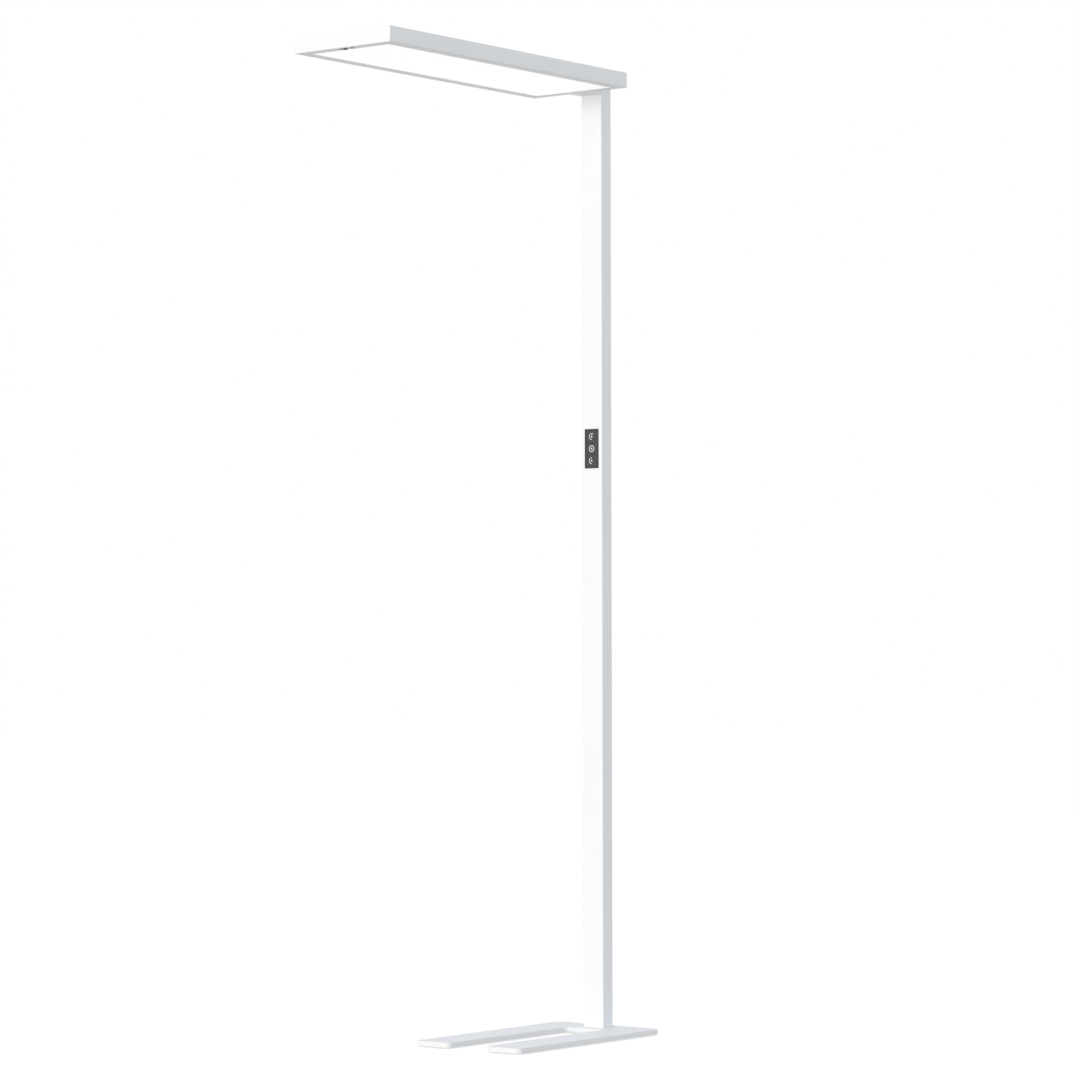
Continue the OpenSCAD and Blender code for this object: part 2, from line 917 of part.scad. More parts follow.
// Outer shape of the head, with round vertical corners
module head_block() {
  translate([head_l / 2, 0, 0]) linear_extrude(head_t) rounded_rect(head_l, head_w, head_r);
}

module rail_near() {
  color(white)
    in_head()
      difference() {
        side_rail();
        set_screw_holes();
        plate_screw_holes();
      }
}

module rail_far() {
  color(white)
    in_head()
      difference() {
        mirror([0, 1, 0]) side_rail();
        set_screw_holes();
        plate_screw_holes();
      }
}

module rail_front() {
  pocket_z = flange_t;
  color(white)
    in_head()
      difference() {
        translate([head_l, 0, 0]) mirror([1, 0, 0]) end_rail();
        set_screw_holes();
        translate([head_l - mitre, -sensor_pocket_w / 2, pocket_z])
          cube([mitre - rail_wall, sensor_pocket_w, channel_z1 - pocket_z]);
        at_sensors(-over)
          cylinder(h = flange_t + 2 * over, r = $sensor_d / 2 + fit);
      }
}

module rail_rear() {
  color(white)
    in_head()
      difference() {
        end_rail();
        set_screw_holes();
        translate([rail_wall, -neck_pocket_w / 2, channel_z0])
          cube([mitre, neck_pocket_w, cover_z - rib_t - channel_z0]);
        translate([-over, -channel_w / 2, channel_z - head_z0 - channel_h / 2])
          cube([rail_wall + 2 * over, channel_w, channel_h]);
        for (s = [-1, 1], v = neck_screw_v)
          translate([-over, s * neck_screw_y, v])
            rotate([0, 90, 0]) cylinder(h = rail_wall + 2 * over, r = screw_d / 2 + fit);
      }
}

// Repeats its children in the four corners of the head; they are drawn for the near rear one
module at_corners() {
  translate([head_l / 2, 0, 0])
    for (sx = [0, 1], sy = [0, 1])
      mirror([sx, 0, 0]) mirror([0, sy, 0]) translate([-head_l / 2, head_w / 2, 0]) children();
}

// Places its children at the two set screws of each corner
module at_set_screws() {
  at_corners() {
    translate([set_screw_at, -set_screw_u, 0]) children();
    translate([set_screw_u, -set_screw_at, 0]) children();
  }
}

module set_screw_holes() {
  at_set_screws()
    translate([0, 0, channel_z1 - hole_clear])
      cylinder(h = rib_t + over, r = small_screw_d / 2 + hole_clear);
}

// Angle pieces in the rails' channels, drawn in the plane of the head
module corner_keys() {
  key_t = channel_z1 - channel_z0 - 2 * fit;
  color(steel)
    in_head()
      difference() {
        at_corners()
          translate([0, 0, channel_z0 + fit])
            linear_extrude(key_t) {
              translate([key_in, -key_out]) square([key_arm - key_in, key_out - key_in]);
              translate([key_in, -key_arm]) square([key_out - key_in, key_arm - key_in]);
            }
        at_set_screws() cylinder(h = head_t, r = small_screw_d / 2 + hole_clear);
      }
}

module corner_screws() {
  set_l = plate_z - channel_z0 - 2 * fit;
  color(rubber_black)
    in_head()
      at_set_screws()
        translate([0, 0, channel_z0 + fit])
          difference() {
            cylinder(h = set_l, r = small_screw_d / 2);
            translate([0, 0, set_l - 2]) cylinder(h = 2 + over, r = small_screw_d / 4, $fn = 6);
          }
}

// Places its children at the screws along the two long edges of the carrier plate
module at_plate_screws() {
  first = 90;
  step = (head_l - 2 * first) / (plate_screw_n - 1);
  for (i = [0 : plate_screw_n - 1], s = [-1, 1])
    translate([first + i * step, s * (head_w / 2 - plate_screw_u), plate_z]) children();
}

module plate_screw_holes() {
  at_plate_screws()
    translate([0, 0, -rib_t - over])
      cylinder(h = rib_t + 2 * over, r = fine_screw_d / 2 + hole_clear);
}

module led_plate() {
  edge = rail_wall + plate_gap;
  color(steel)
    in_head()
      difference() {
        translate([edge, edge - head_w / 2, plate_z])
          cube([head_l - 2 * edge, head_w - 2 * edge, plate_t]);
        translate([0, -plate_notch[1] / 2, plate_z - over])
          cube([plate_notch[0], plate_notch[1], plate_t + 2 * over]);
        at_plate_screws()
          translate([0, 0, -over])
            cylinder(h = plate_t + 2 * over, r = fine_screw_d / 2 + hole_clear);
        for (hole = [[0, -pole_pitch], [0, pole_pitch], [1, 0]])
          translate([drop_x[hole[0]], hole[1], plate_z - over])
            cylinder(h = plate_t + 2 * over, r = sensor_lead_d / 2 + fit);
      }
}

module plate_screws() {
  color(steel)
    in_head()
      at_plate_screws()
        translate([0, 0, plate_t])
          mirror([0, 0, 1])
            pan_screw(fine_screw_d, 2 * fine_screw_d, fine_screw_d * 0.6, plate_t + 2 * rib_t);
}

// ---------- light ----------

// Sideways places of the boards
down_rows = [for (i = [-1.5 : 1.5]) i * down_pitch];
up_rows = [-up_pitch / 2, up_pitch / 2];

// Boards in rows, a margin away from the head's ends, with their lower face at z
module board_rows(rows, margin, z) {
  for (y = rows)
    translate([margin, y - board_w / 2, z]) cube([head_l - 2 * margin, board_w, board_t]);
}

// Light-emitting diodes at even steps along each board
module led_rows(rows, margin, count, z) {
  step = (head_l - 2 * margin) / count;
  for (y = rows, i = [0 : count - 1])
    translate([margin + (i + 0.5) * step - led_w / 2, y - led_w / 2, z])
      cube([led_w, led_w, led_t]);
}

module down_boards() {
  color("white")
    in_head() board_rows(down_rows, down_margin, plate_z - board_t);
}

module down_leds() {
  color("#f2d45c")
    in_head() led_rows(down_rows, down_margin, down_count, plate_z - board_t - led_t);
}

module up_boards() {
  color("white")
    in_head() board_rows(up_rows, up_margin, plate_z + plate_t);
}

module up_leds() {
  color("#f2d45c")
    in_head() led_rows(up_rows, up_margin, up_count, plate_z + plate_t + board_t);
}

// Opal sheet with a step: the inner field hangs in the bezel, the border lies on the flange
module down_diffuser() {
  field = bezel_w + diffuser_sink;
  color("#fbfbf7")
    in_head() {
      difference() {
        translate([diffuser_in, diffuser_in - head_w / 2, flange_t])
          cube([head_l - 2 * diffuser_in, head_w - 2 * diffuser_in, diffuser_flange_t]);
        translate([head_l - bezel_w, -sensor_pocket_w / 2, 0])
          cube([bezel_w, sensor_pocket_w, head_t]);
      }
      translate([field, field - head_w / 2, diffuser_sink])
        cube([head_l - 2 * field, head_w - 2 * field, flange_t - diffuser_sink]);
    }
}

// Foam strip between the diffuser's border and the rails' lower rib
module diffuser_gasket() {
  out = stop_reach - gasket_w;
  color(rubber_black)
    in_head()
      translate([0, 0, flange_t + diffuser_flange_t])
        linear_extrude(gasket_t)
          difference() {
            translate([out, out - head_w / 2]) square([head_l - 2 * out, head_w - 2 * out]);
            translate([stop_reach, stop_reach - head_w / 2])
              square([head_l - 2 * stop_reach, head_w - 2 * stop_reach]);
            translate([head_l - bezel_w, -sensor_pocket_w / 2]) square([bezel_w, sensor_pocket_w]);
          }
}

module up_cover() {
  edge = rail_wall + plate_gap;
  color("#e9eef0")
    in_head()
      translate([edge, edge - head_w / 2, cover_z])
        cube([head_l - 2 * edge, head_w - 2 * edge, cover_t]);
}

// ---------- sensors ----------

// Places its children at the three sensor windows and gives them the window's diameter
module at_sensors(z) {
  for (s = [[presence_y, presence_d], [daylight_y, daylight_d], [remote_y, remote_d]])
    translate([head_l - sensor_u, s[0], z]) {
      $sensor_d = s[1];
      children();
    }
}

// Moulded strip that holds the lenses down and carries the sensor board
module sensor_holder() {
  color(rubber_black)
    in_head()
      difference() {
        translate([head_l - sensor_u - holder[0] / 2, -holder[1] / 2, holder_z])
          cube([holder[0], holder[1], holder[2]]);
        at_sensors(-over) {
          cylinder(h = head_t, r = $sensor_d / 2 - lens_web);
          cylinder(h = holder_z + lens_flange + fit + over, r = $sensor_d / 2 + lens_lap + fit);
        }
      }
}

module sensor_board() {
  can = [2.2, 3];
  z0 = holder_z + holder[2];
  color(board_green)
    in_head() {
      translate([head_l - sensor_u - holder[0] / 2, -holder[1] / 2, z0])
        cube([holder[0], holder[1], board_t]);
      at_sensors(z0 - lens_web) cylinder(h = lens_web, r = $sensor_d / 2 - 2 * lens_web);
      translate([head_l - sensor_u, presence_y, z0 + board_t]) cylinder(h = can[1], r = can[0]);
    }
}

// Round window with a flange above the bezel, flush or domed below it
module window_disc(d, dome) {
  color(dark_grey) {
    translate([0, 0, flange_t]) cylinder(h = lens_flange, r = d / 2 + lens_lap);
    cylinder(h = flange_t + lens_flange, r = d / 2);
    if (dome > 0)
      dome_cap(d, dome);
  }
}

// Shallow dome below Z = 0
module dome_cap(d, h) {
  r = (d * d / 4 + h * h) / (2 * h);
  intersection() {
    translate([0, 0, r - h]) sphere(r, $fn = 96);
    translate([0, 0, -h]) cylinder(h = h, r = d / 2);
  }
}

module presence_lens() {
  in_head() translate([head_l - sensor_u, presence_y, 0]) window_disc(presence_d, dome_out);
}

module daylight_window() {
  in_head() translate([head_l - sensor_u, daylight_y, 0]) window_disc(daylight_d, 0);
}

module remote_window() {
  in_head() translate([head_l - sensor_u, remote_y, 0]) window_disc(remote_d, 0);
}

// ---------- connections ----------

module terminal_block() {
  color("#eceae2")
    in_head()
      difference() {
        translate([terminal_x, -terminal[1] / 2, plate_z + plate_t]) cube(terminal);
        for (i = [-2 : 2])
          translate([terminal_x + terminal[0] - mouth[0], i * pole_pitch, leads_z])
            across(mouth[0] + over) square([mouth[1], mouth[2]], center = true);
      }
}

// Wires from the terminal block to the boards, with a bridge to each outer down board
module board_leads() {
  mouth_x = terminal_x + terminal[0] - mouth[0];
  board_edge = down_pitch / 2 - board_w / 2;
  color("#d8d8d4")
    in_head()
      for (s = [-1, 1]) {
        lead(
          [
            [mouth_x, s * 2 * pole_pitch, leads_z],
            [drop_x[1], s * 2 * pole_pitch, leads_z],
            [drop_x[1], s * up_pitch / 2, leads_z],
            [up_margin + 3, s * up_pitch / 2, leads_z]
          ],
          thin_lead_d, thin_bend
        );
        lead(
          [
            [mouth_x, s * pole_pitch, leads_z],
            [drop_x[0], s * pole_pitch, leads_z],
            [drop_x[0], s * pole_pitch, under_z],
            [drop_x[0], s * board_edge, under_z]
          ],
          thin_lead_d, thin_bend
        );
        lead(
          [
            [drop_x[0], s * (board_edge + board_w), under_z],
            [drop_x[0], s * (board_edge + down_pitch), under_z]
          ],
          thin_lead_d, thin_bend
        );
      }
}

// Lead from the sensor board along the middle of the head to the terminal block
module sensor_lead() {
  board_x = head_l - sensor_u - holder[0] / 3;
  color("#8c8f92")
    in_head()
      lead(
        [
          [board_x, 0, holder_z + holder[2] + board_t],
          [board_x, 0, under_z - sensor_lead_d],
          [drop_x[1], 0, under_z - sensor_lead_d],
          [drop_x[1], 0, leads_z],
          [terminal_x + terminal[0] - mouth[0], 0, leads_z]
        ],
        sensor_lead_d, thin_bend
      );
}

base_plate();
base_pads();
base_screws();
pole_tube();
pole_cap();
mains_inlet();
inlet_pins();
gear_tray();
tray_screws();
led_driver();
driver_screws();
mains_wires();
output_lead();
keypad_lead();
keypad_frame();
keypad_board();
switch_bodies();
keypad_back();
keypad_screws();
key_up();
key_power();
key_down();
plunger_up();
plunger_power();
plunger_down();
neck_casting();
neck_rear_screws();
neck_head_screws();
rail_near();
rail_far();
rail_front();
rail_rear();
corner_keys();
corner_screws();
led_plate();
plate_screws();
down_boards();
down_leds();
up_boards();
up_leds();
down_diffuser();
diffuser_gasket();
up_cover();
sensor_holder();
sensor_board();
presence_lens();
daylight_window();
remote_window();
terminal_block();
board_leads();
sensor_lead();
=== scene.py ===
"""Looks of an office floor lamp: finishes, rounded edges, key symbols, studio, camera."""

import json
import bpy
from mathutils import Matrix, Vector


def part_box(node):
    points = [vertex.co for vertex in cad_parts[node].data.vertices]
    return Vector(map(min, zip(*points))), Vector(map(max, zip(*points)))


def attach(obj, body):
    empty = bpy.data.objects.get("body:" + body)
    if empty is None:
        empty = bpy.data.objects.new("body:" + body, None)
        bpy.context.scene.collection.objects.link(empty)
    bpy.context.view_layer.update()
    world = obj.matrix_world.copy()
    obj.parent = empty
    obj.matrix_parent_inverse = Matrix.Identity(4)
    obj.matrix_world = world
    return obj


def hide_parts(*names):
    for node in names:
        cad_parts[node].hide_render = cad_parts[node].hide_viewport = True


bl_info = {
    "name": "Office Floor Lamp",
    "version": (1, 0, 0),
    "blender": (4, 5, 0),
    "location": "3D View > Sidebar > Floor Lamp",
    "description": "Finishes the pieces of an office floor lamp and sets up its studio",
    "category": "Object",
}

from math import atan2, cos, pi, radians, sin

import bmesh
import bpy
from bpy.props import FloatProperty, FloatVectorProperty, PointerProperty
from mathutils import Matrix, Vector

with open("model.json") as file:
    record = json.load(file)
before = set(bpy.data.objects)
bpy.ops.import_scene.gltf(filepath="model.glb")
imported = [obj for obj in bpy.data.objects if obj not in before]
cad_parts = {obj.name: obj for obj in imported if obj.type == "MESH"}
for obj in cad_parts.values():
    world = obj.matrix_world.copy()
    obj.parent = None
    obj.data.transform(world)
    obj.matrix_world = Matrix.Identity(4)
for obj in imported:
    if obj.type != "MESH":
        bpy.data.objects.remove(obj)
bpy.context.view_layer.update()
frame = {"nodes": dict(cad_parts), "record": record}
BODY_OF = {
    node: body
    for body, nodes in frame["record"]["behaviour"]["bodies"].items()
    for node in nodes
}
SLOT_OF = {part["node"]: part["material_slot"] for part in frame["record"]["subparts"]}

# Corners of the solids closer than this are one corner (metres)
MERGE = 2e-6
# How far the rounded corners of the pole's section lie inside its box (metres)
SKIN = 0.0008
# Edges that turn by more than this may be rounded, and shade as crisp, in turn
ROUNDED_FROM = radians(50)
CRISP_FROM = radians(40)


def srgb(code):
    """Linear colour from an sRGB hex code."""
    parts = [int(code[i : i + 2], 16) / 255 for i in (1, 3, 5)]
    return [c / 12.92 if c <= 0.04045 else ((c + 0.055) / 1.055) ** 2.4 for c in parts]


def per_mm(size):
    """Texture scale at which a feature is about `size` millimetres wide."""
    return 1000.0 / size


# ---------------------------------------------------------------- settings


def colour(name, description, code):
    return FloatVectorProperty(
        name=name,
        description=description,
        subtype="COLOR",
        size=3,
        min=0.0,
        max=1.0,
        default=srgb(code),
    )


def length(name, description, millimetres):
    return FloatProperty(
        name=name,
        description=description,
        unit="LENGTH",
        min=0.0,
        precision=5,
        default=millimetres / 1000,
    )


class LampColours(bpy.types.PropertyGroup):
    coat: colour("Coating", "White coating of foot, pole, neck and head", "#F1F3F4")
    key: colour("Keys", "Moulded plastic of the three keys", "#363635")
    surround: colour("Surround", "Moulded frame round the keys", "#292929")
    symbol: colour("Symbols", "Printed symbols on the keys", "#F2F3F3")
    opal: colour("Opal sheet", "Lit sheet under the head", "#F7F8F6")
    lens: colour("Dark lens", "Infrared-clear lens material", "#08080A")
    smoked: colour("Smoked window", "Smoked clear window material", "#1B1C1E")
    black: colour("Black plastic", "Inlet and inner mouldings", "#222326")
    rubber: colour("Rubber", "Pads and gasket", "#26272A")


class LampSizes(bpy.types.PropertyGroup):
    plate_edge: length("Plate edge", "Rounding of the floor plate's edges", 1.2)
    metal_edge: length("Metal edge", "Rounding of cast and sawn edges", 0.35)
    moulded_edge: length("Moulded edge", "Rounding of moulded plastic edges", 0.3)
    symbol_radius: length("Symbol radius", "Outer radius of a key's symbol", 6.5)
    symbol_stroke: length("Symbol stroke", "Line width of a key's symbol", 1.3)
    symbol_dot: length("Symbol dot", "Radius of the dot in a symbol", 1.8)
    symbol_height: length("Symbol height", "Thickness of the printed ink", 0.03)


class LampLight(bpy.types.PropertyGroup):
    sky_low: FloatProperty(
        name="Sky low",
        description="Strength of the studio light from the sides",
        default=0.972,
        min=0.0,
    )
    sky_high: FloatProperty(
        name="Sky high",
        description="Strength of the studio light from above",
        default=0.766,
        min=0.0,
    )
    front: FloatProperty(
        name="Front lamp",
        description="Power of the soft lamp far in front of the head's end, in watts",
        default=2945.0,
        min=0.0,
    )
    floor_lift: FloatProperty(
        name="Floor lift",
        description="Light that makes the floor white where the camera sees it",
        default=0.32,
        min=0.0,
    )
    floor_bounce: FloatProperty(
        name="Floor bounce",
        description="Strength of the light that the floor throws back up",
        default=0.49,
        min=0.0,
    )
    opal_glow: FloatProperty(
        name="Opal glow",
        description="Strength of the lit opal sheet",
        default=0.445,
        min=0.0,
    )


# ---------------------------------------------------------------- materials


def add(tree, kind, settings=None, links=None):
    """Adds a node. Lower-case settings are its properties; the others are its inputs."""
    node = tree.nodes.new(kind)
    for key, value in (settings or {}).items():
        if isinstance(key, str) and key[0].islower():
            setattr(node, key, value)
        else:
            node.inputs[key].default_value = value
    for key, socket in (links or {}).items():
        tree.links.new(socket, node.inputs[key])
    return node


def new_material(name, **settings):
    """Material with one principled shader. Returns it, its tree, shader and coordinates."""
    material = bpy.data.materials.new(name)
    material.use_nodes = True
    tree = material.node_tree
    tree.nodes.clear()
    inputs = {
        key.replace("_", " ").title().replace("Ior", "IOR"): value
        for key, value in settings.items()
    }
    shader = add(tree, "ShaderNodeBsdfPrincipled", inputs)
    add(tree, "ShaderNodeOutputMaterial", links={"Surface": shader.outputs[0]})
    place = add(tree, "ShaderNodeTexCoord").outputs["Object"]
    return material, tree, shader, place


def shade(tree, shader, factor, dark, light):
    """Mixes the base colour from dark to light by a 0 to 1 factor."""
    mix = add(
        tree,
        "ShaderNodeMix",
        {"data_type": "RGBA", 6: (*dark, 1.0), 7: (*light, 1.0)},
        {0: factor},
    )
    tree.links.new(mix.outputs[2], shader.inputs["Base Color"])


def scaled(values, k):
    return [min(1.0, v * k) for v in values]


def powder_coat(name, colour):
    """Polyester powder coat, sprayed and baked: an even white skin with a fine pebble and a
    broad faint waviness, which keeps its gloss soft."""
    material, tree, shader, place = new_material(name, roughness=0.46, ior=1.5)
    # Real pebbles are about 0.4 mm wide. Drawn at 1.1 mm, the finest that a near view shows
    pebbles = add(
        tree,
        "ShaderNodeTexNoise",
        {"Scale": per_mm(1.1), "Detail": 2.0, "Roughness": 0.55},
        {"Vector": place},
    ).outputs[0]
    waves = add(
        tree, "ShaderNodeTexNoise", {"Scale": per_mm(70), "Detail": 2.0}, {"Vector": place}
    ).outputs[0]
    shade(tree, shader, waves, scaled(colour, 0.975), scaled(colour, 1.01))
    rough = add(
        tree, "ShaderNodeMapRange", {"To Min": 0.4, "To Max": 0.54}, {"Value": pebbles}
    ).outputs[0]
    tree.links.new(rough, shader.inputs["Roughness"])
    broad = add(
        tree, "ShaderNodeBump", {"Strength": 0.25, "Distance": 0.0004}, {"Height": waves}
    ).outputs[0]
    fine = add(
        tree,
        "ShaderNodeBump",
        {"Strength": 0.22, "Distance": 0.0002},
        {"Height": pebbles, "Normal": broad},
    ).outputs[0]
    tree.links.new(fine, shader.inputs["Normal"])
    return material


def moulded_plastic(name, colour, roughness, grain_mm, strength):
    """Injection-moulded plastic from a spark-eroded tool: an even fine grain, slightly
    shinier where it is rubbed."""
    material, tree, shader, place = new_material(name, roughness=roughness, ior=1.52)
    grain = add(
        tree,
        "ShaderNodeTexNoise",
        {"Scale": per_mm(grain_mm), "Detail": 3.0, "Roughness": 0.6},
        {"Vector": place},
    ).outputs[0]
    cloud = add(
        tree, "ShaderNodeTexNoise", {"Scale": per_mm(24), "Detail": 2.0}, {"Vector": place}
    ).outputs[0]
    shade(tree, shader, grain, scaled(colour, 0.86), scaled(colour, 1.1))
    rough = add(
        tree,
        "ShaderNodeMapRange",
        {"To Min": roughness - 0.07, "To Max": roughness + 0.07},
        {"Value": cloud},
    ).outputs[0]
    tree.links.new(rough, shader.inputs["Roughness"])
    bump = add(
        tree,
        "ShaderNodeBump",
        {"Strength": strength, "Distance": 0.00008},
        {"Height": grain},
    ).outputs[0]
    tree.links.new(bump, shader.inputs["Normal"])
    return material


def moulded_rubber(name, colour):
    """Moulded nitrile rubber: near black, dull, with talc-pale specks."""
    material, tree, shader, place = new_material(name, roughness=0.85)
    specks = add(
        tree,
        "ShaderNodeTexNoise",
        {"Scale": per_mm(0.6), "Detail": 4.0, "Roughness": 0.7},
        {"Vector": place},
    ).outputs[0]
    shade(tree, shader, specks, scaled(colour, 0.7), scaled(colour, 1.5))
    bump = add(
        tree, "ShaderNodeBump", {"Strength": 0.4, "Distance": 0.0001}, {"Height": specks}
    ).outputs[0]
    tree.links.new(bump, shader.inputs["Normal"])
    return material


def drawn_metal(name, colour, roughness, along, lines_mm):
    """Rolled, drawn or extruded metal: fine lines along the direction it was drawn in."""
    material, tree, shader, place = new_material(name, metallic=1.0, roughness=roughness)
    stretch = [1.0, 1.0, 1.0]
    stretch[along] = 0.02
    lined = add(
        tree, "ShaderNodeMapping", {"Scale": stretch}, {"Vector": place}
    ).outputs[0]
    lines = add(
        tree,
        "ShaderNodeTexNoise",
        {"Scale": per_mm(lines_mm), "Detail": 4.0, "Roughness": 0.65},
        {"Vector": lined},
    ).outputs[0]
    shade(tree, shader, lines, scaled(colour, 0.88), scaled(colour, 1.08))
    rough = add(
        tree,
        "ShaderNodeMapRange",
        {"To Min": roughness - 0.1, "To Max": roughness + 0.12},
        {"Value": lines},
    ).outputs[0]
    tree.links.new(rough, shader.inputs["Roughness"])
    bump = add(
        tree, "ShaderNodeBump", {"Strength": 0.15, "Distance": 0.00005}, {"Height": lines}
    ).outputs[0]
    tree.links.new(bump, shader.inputs["Normal"])
    return material


def plated_steel(name, colour, roughness):
    """Steel with an electroplated or oxide skin: metallic, mottled by its crystals."""
    material, tree, shader, place = new_material(name, metallic=1.0, roughness=roughness)
    crystals = add(
        tree, "ShaderNodeTexVoronoi", {"Scale": per_mm(1.4)}, {"Vector": place}
    ).outputs["Distance"]
    shade(tree, shader, crystals, scaled(colour, 0.85), scaled(colour, 1.1))
    rough = add(
        tree,
        "ShaderNodeMapRange",
        {"To Min": roughness - 0.06, "To Max": roughness + 0.14},
        {"Value": crystals},
    ).outputs[0]
    tree.links.new(rough, shader.inputs["Roughness"])
    return material


def opal_acrylic(name, colour, glow):
    """Opal acrylic sheet, satin on its face: milky, and lit from behind with a barely seen
    swell, as far from crest to crest as the rows of light-emitting diodes."""
    material, tree, shader, place = new_material(
        name, roughness=0.42, ior=1.49, emission_strength=glow
    )
    row_pitch = 0.05
    across = add(tree, "ShaderNodeSeparateXYZ", links={0: place}).outputs["Y"]
    wave = add(
        tree,
        "ShaderNodeMath",
        {"operation": "MULTIPLY", 1: 2 * pi / row_pitch},
        {0: across},
    ).outputs[0]
    swell = add(tree, "ShaderNodeMath", {"operation": "SINE"}, {0: wave}).outputs[0]
    even = add(
        tree,
        "ShaderNodeMapRange",
        {"From Min": -1.0, "From Max": 1.0, "To Min": 0.0, "To Max": 1.0},
        {"Value": swell},
    ).outputs[0]
    dim = scaled(colour, 0.985)
    lit = add(
        tree,
        "ShaderNodeMix",
        {"data_type": "RGBA", 6: (*dim, 1.0), 7: (*colour, 1.0)},
        {0: even},
    ).outputs[2]
    tree.links.new(lit, shader.inputs["Emission Color"])
    cloud = add(
        tree, "ShaderNodeTexNoise", {"Scale": per_mm(0.9), "Detail": 2.0}, {"Vector": place}
    ).outputs[0]
    shade(tree, shader, cloud, dim, colour)
    bump = add(
        tree, "ShaderNodeBump", {"Strength": 0.12, "Distance": 0.0001}, {"Height": cloud}
    ).outputs[0]
    tree.links.new(bump, shader.inputs["Normal"])
    return material


def prism_acrylic(name):
    """Clear acrylic cover, flat outside, with small moulded prisms on its inner face that
    soften what lies under it. Its colour is a hair lighter towards each prism's edge, a
    painted glint of the light the prisms bend."""
    material, tree, shader, place = new_material(
        name, roughness=0.1, ior=1.49, transmission_weight=1.0
    )
    # Prisms 3 mm wide, below the middle of the cover's thickness
    low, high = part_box("up_cover")
    depth = add(tree, "ShaderNodeSeparateXYZ", links={0: place}).outputs["Z"]
    inner = add(
        tree,
        "ShaderNodeMath",
        {"operation": "LESS_THAN", 1: (low.z + high.z) / 2},
        {0: depth},
    ).outputs[0]
    prisms_and_glints = add(
        tree,
        "ShaderNodeTexVoronoi",
        {
            "voronoi_dimensions": "2D",
            "distance": "CHEBYCHEV",
            "Scale": per_mm(3),
            "Randomness": 0.0,
        },
        {"Vector": place},
    ).outputs["Distance"]
    # Colour a hair lighter towards each prism's edge, all through the cover: a painted
    # glint of the light the prisms bend
    shade(tree, shader, prisms_and_glints, srgb("#F8FBFB"), srgb("#FFFFFF"))
    rough = add(
        tree, "ShaderNodeMapRange", {"To Min": 0.1, "To Max": 0.34}, {"Value": inner}
    ).outputs[0]
    tree.links.new(rough, shader.inputs["Roughness"])
    bump = add(
        tree,
        "ShaderNodeBump",
        {"Distance": 0.0008},
        {"Height": prisms_and_glints, "Strength": inner},
    ).outputs[0]
    tree.links.new(bump, shader.inputs["Normal"])
    return material


def moulded_window(name, colour, facet_mm, strength):
    """Dyed polycarbonate that only lets infrared through: near black and satin, with the
    segments of the lens moulded in behind its face. The segments are raised in the bump,
    and their colour is lighter towards their edges, a painted glint of the light they
    catch."""
    material, tree, shader, place = new_material(
        name, roughness=0.65, ior=1.58, specular_ior_level=0.03
    )
    facets_and_glints = add(
        tree,
        "ShaderNodeTexVoronoi",
        {"Scale": per_mm(facet_mm), "Randomness": 0.15},
        {"Vector": place},
    ).outputs["Distance"]
    # Colour lighter towards each segment's edge: a painted glint, standing in for the light
    # that the segments' steps catch
    shade(tree, shader, facets_and_glints, scaled(colour, 0.5), scaled(colour, 3.0))
    bump = add(
        tree,
        "ShaderNodeBump",
        {"Strength": strength, "Distance": 0.0002},
        {"Height": facets_and_glints},
    ).outputs[0]
    tree.links.new(bump, shader.inputs["Normal"])
    return material


def solder_resist(name, colour, roughness):
    """Lacquered circuit board: smooth lacquer, a little raised over the copper tracks."""
    material, tree, shader, place = new_material(name, roughness=roughness, ior=1.55)
    # Tracks about 1.5 mm apart
    tracks = add(
        tree,
        "ShaderNodeTexBrick",
        {"Scale": per_mm(6), "Mortar Size": 0.04, "Brick Width": 2.0, "Row Height": 0.25},
        {"Vector": place},
    ).outputs["Fac"]
    shade(tree, shader, tracks, colour, scaled(colour, 0.9))
    bump = add(
        tree, "ShaderNodeBump", {"Strength": 0.3, "Distance": 0.00005}, {"Height": tracks}
    ).outputs[0]
    tree.links.new(bump, shader.inputs["Normal"])
    return material


def phosphor_resin(name):
    """Clear silicone over yellow phosphor: warm, glossy and lit."""
    material, tree, shader, place = new_material(
        name, roughness=0.2, ior=1.45, emission_strength=2.0
    )
    shader.inputs["Emission Color"].default_value = (*srgb("#FFF4D8"), 1.0)
    grains = add(
        tree, "ShaderNodeTexNoise", {"Scale": per_mm(0.5), "Detail": 2.0}, {"Vector": place}
    ).outputs[0]
    shade(tree, shader, grains, srgb("#E0B53C"), srgb("#F2D671"))
    return material


def soft_sheath(name, colour):
    """Extruded soft PVC sheath: satin, with a faint drag along its length."""
    material, tree, shader, place = new_material(name, roughness=0.45, ior=1.53)
    drag = add(
        tree,
        "ShaderNodeTexNoise",
        {"Scale": per_mm(1.5), "Detail": 3.0},
        {"Vector": place},
    ).outputs[0]
    shade(tree, shader, drag, scaled(colour, 0.88), scaled(colour, 1.08))
    bump = add(
        tree, "ShaderNodeBump", {"Strength": 0.15, "Distance": 0.0001}, {"Height": drag}
    ).outputs[0]
    tree.links.new(bump, shader.inputs["Normal"])
    return material


def printed_ink(name, colour):
    """Pad-printed ink: pale, dead flat, a hair rougher than the key under it."""
    material, tree, shader, place = new_material(name, roughness=0.6, ior=1.5)
    dots = add(
        tree, "ShaderNodeTexNoise", {"Scale": per_mm(0.4), "Detail": 2.0}, {"Vector": place}
    ).outputs[0]
    shade(tree, shader, dots, scaled(colour, 0.92), colour)
    return material


